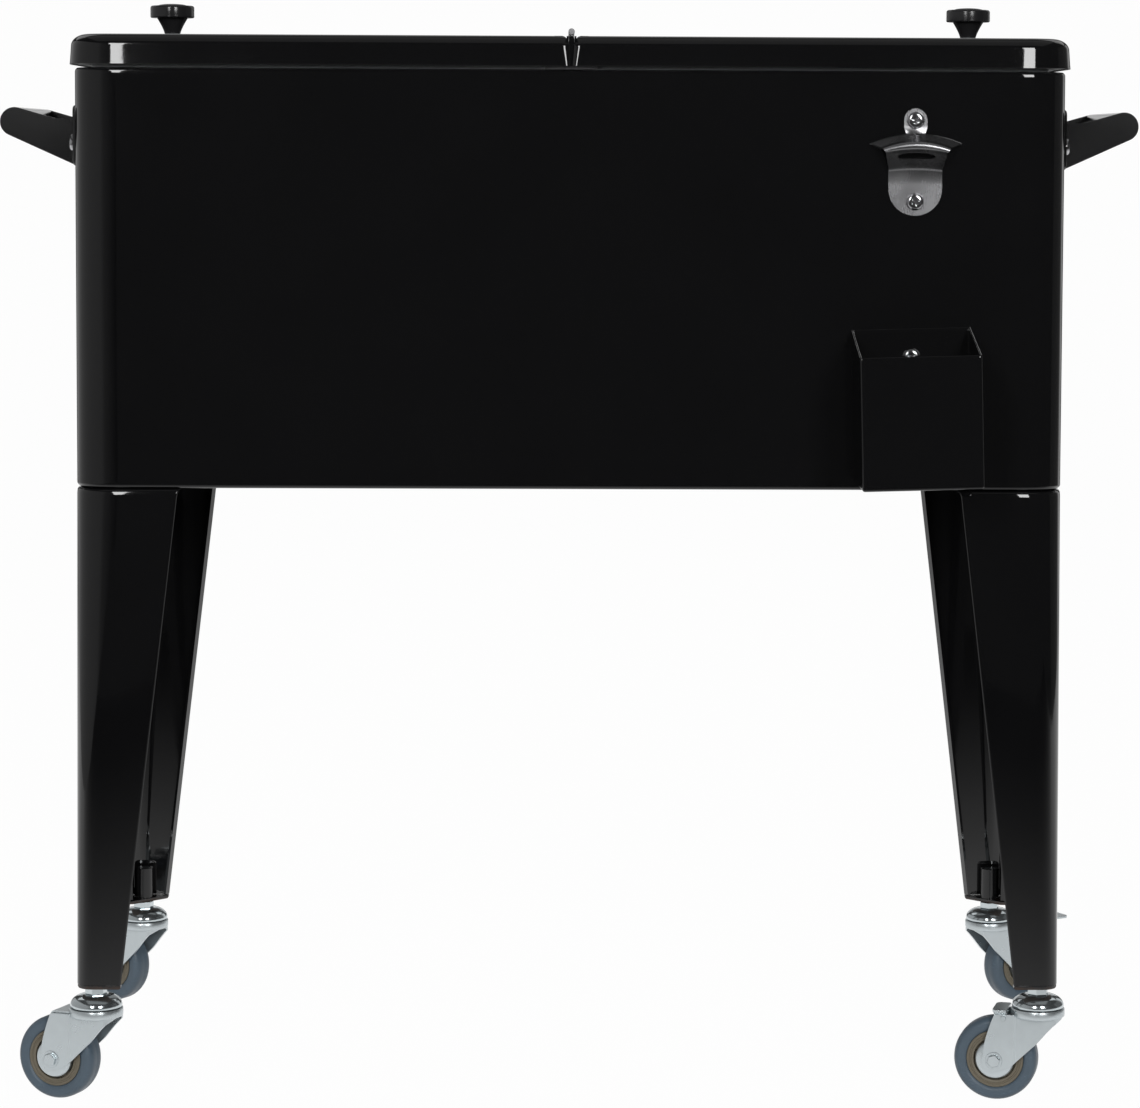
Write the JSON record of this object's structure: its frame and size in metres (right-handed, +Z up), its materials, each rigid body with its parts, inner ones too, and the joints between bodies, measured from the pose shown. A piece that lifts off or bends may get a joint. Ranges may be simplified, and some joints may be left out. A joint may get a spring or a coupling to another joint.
{
  "type": "rolling patio cooler",
  "caption": "Insulated steel chest on tapered folded legs with swivel castors, centre-hinged lids, side handles, a bottle opener and a cap catcher.",
  "frame": {"origin": "middle of the outline on the floor", "axes": "+X along the long side with the bottle opener's end positive, -Y out of the front, +Z up"},
  "size_m": [0.899, 0.4894, 0.8525],
  "materials": {
    "black_paint": "gloss black powder coat on sheet steel",
    "foam": "poured closed-cell foam",
    "tub_plastic": "pale grey moulded plastic",
    "knob_plastic": "charcoal satin plastic",
    "stainless": "brushed stainless steel",
    "zinc": "bright zinc plate",
    "wheel_core": "khaki moulded plastic",
    "tyre": "blue-grey moulded tread",
    "dark_plastic": "dark moulded plastic"
  },
  "bodies": {
    "chest": {"outer_shell": "black_paint", "foam_insulation": "foam", "inner_tub": "tub_plastic", "hinge_bridge": "stainless", "hinge_pin": "stainless", "drain_spout": "dark_plastic", "leg_front_left": "black_paint", "leg_front_right": "black_paint", "leg_rear_left": "black_paint", "leg_rear_right": "black_paint", "leg_socket_front_left": "black_paint", "leg_socket_front_right": "black_paint", "leg_socket_rear_left": "black_paint", "leg_socket_rear_right": "black_paint", "castor_front_left_race": "zinc", "castor_front_right_race": "zinc", "castor_rear_left_race": "zinc", "castor_rear_right_race": "zinc", "handle_left": "black_paint", "handle_right": "black_paint", "handle_screw_left_front": "stainless", "handle_screw_left_rear": "stainless", "handle_screw_right_front": "stainless", "handle_screw_right_rear": "stainless", "bottle_opener": "stainless", "opener_screw_upper": "stainless", "opener_screw_lower": "stainless", "cap_catcher": "black_paint", "catcher_screw": "stainless"},
    "left_lid": {"lid_left": "black_paint", "lid_liner_left": "tub_plastic", "lid_hinge_leaf_left": "stainless", "lid_knob_left": "knob_plastic", "lid_knob_screw_left": "zinc"},
    "right_lid": {"lid_right": "black_paint", "lid_liner_right": "tub_plastic", "lid_hinge_leaf_right": "stainless", "lid_knob_right": "knob_plastic", "lid_knob_screw_right": "zinc"},
    "cap_of_drain": {"drain_cap": "dark_plastic"},
    "swivel_front_left": {"castor_front_left_fork": "zinc", "castor_front_left_axle": "zinc"},
    "swivel_front_right": {"castor_front_right_fork": "zinc", "castor_front_right_axle": "zinc"},
    "swivel_rear_left": {"castor_rear_left_fork": "zinc", "castor_rear_left_axle": "zinc"},
    "swivel_rear_right": {"castor_rear_right_fork": "zinc", "castor_rear_right_axle": "zinc"},
    "wheel_front_left": {"castor_front_left_wheel_core": "wheel_core", "castor_front_left_tyre": "tyre"},
    "wheel_front_right": {"castor_front_right_wheel_core": "wheel_core", "castor_front_right_tyre": "tyre"},
    "wheel_rear_left": {"castor_rear_left_wheel_core": "wheel_core", "castor_rear_left_tyre": "tyre"},
    "wheel_rear_right": {"castor_rear_right_wheel_core": "wheel_core", "castor_rear_right_tyre": "tyre"},
    "pedal_front_right": {"castor_front_right_brake_pedal": "zinc"},
    "pedal_rear_right": {"castor_rear_right_brake_pedal": "zinc"}
  },
  "joints": [
    {"name": "left_lid_hinge", "type": "hinge", "parent": "chest", "child": "left_lid", "pos_m": [0, 0.0246, 0.8265], "axis": [0, 1, 0], "range_deg": [0, 84]},
    {"name": "right_lid_hinge", "type": "hinge", "parent": "chest", "child": "right_lid", "pos_m": [0, 0.0246, 0.8265], "axis": [0, -1, 0], "range_deg": [0, 84]},
    {"name": "drain_cap_pull", "type": "slide", "parent": "chest", "child": "cap_of_drain", "axis": [0, 0, -1], "range_m": [0, 0.025]},
    {"name": "swivel_front_left_turn", "type": "hinge", "parent": "chest", "child": "swivel_front_left", "pos_m": [-0.3655, -0.1469, 0.07], "axis": [0, 0, 1], "continuous": true},
    {"name": "swivel_front_right_turn", "type": "hinge", "parent": "chest", "child": "swivel_front_right", "pos_m": [0.3655, -0.1469, 0.07], "axis": [0, 0, 1], "continuous": true},
    {"name": "swivel_rear_left_turn", "type": "hinge", "parent": "chest", "child": "swivel_rear_left", "pos_m": [-0.3655, 0.1961, 0.07], "axis": [0, 0, 1], "continuous": true},
    {"name": "swivel_rear_right_turn", "type": "hinge", "parent": "chest", "child": "swivel_rear_right", "pos_m": [0.3655, 0.1961, 0.07], "axis": [0, 0, 1], "continuous": true},
    {"name": "wheel_front_left_spin", "type": "hinge", "parent": "swivel_front_left", "child": "wheel_front_left", "pos_m": [-0.39506, -0.13465, 0.0325], "axis": [0.3827, 0.9239, 0], "continuous": true},
    {"name": "wheel_front_right_spin", "type": "hinge", "parent": "swivel_front_right", "child": "wheel_front_right", "pos_m": [0.33451, -0.13894, 0.0325], "axis": [0.2487, 0.9686, 0], "continuous": true},
    {"name": "wheel_rear_left_spin", "type": "hinge", "parent": "swivel_rear_left", "child": "wheel_rear_left", "pos_m": [-0.39264, 0.21306, 0.0325], "axis": [0.5299, 0.848, 0], "continuous": true},
    {"name": "wheel_rear_right_spin", "type": "hinge", "parent": "swivel_rear_right", "child": "wheel_rear_right", "pos_m": [0.3936, 0.21142, 0.0325], "axis": [0.4787, -0.878, 0], "continuous": true},
    {"name": "pedal_front_right_press", "type": "hinge", "parent": "swivel_front_right", "child": "pedal_front_right", "pos_m": [0.34129, -0.14068, 0.0663], "axis": [-0.2487, -0.9686, 0], "range_deg": [0, 12]},
    {"name": "pedal_rear_right_press", "type": "hinge", "parent": "swivel_rear_right", "child": "pedal_rear_right", "pos_m": [0.38745, 0.20807, 0.0663], "axis": [-0.4787, 0.878, 0], "range_deg": [0, 12]}
  ]
}
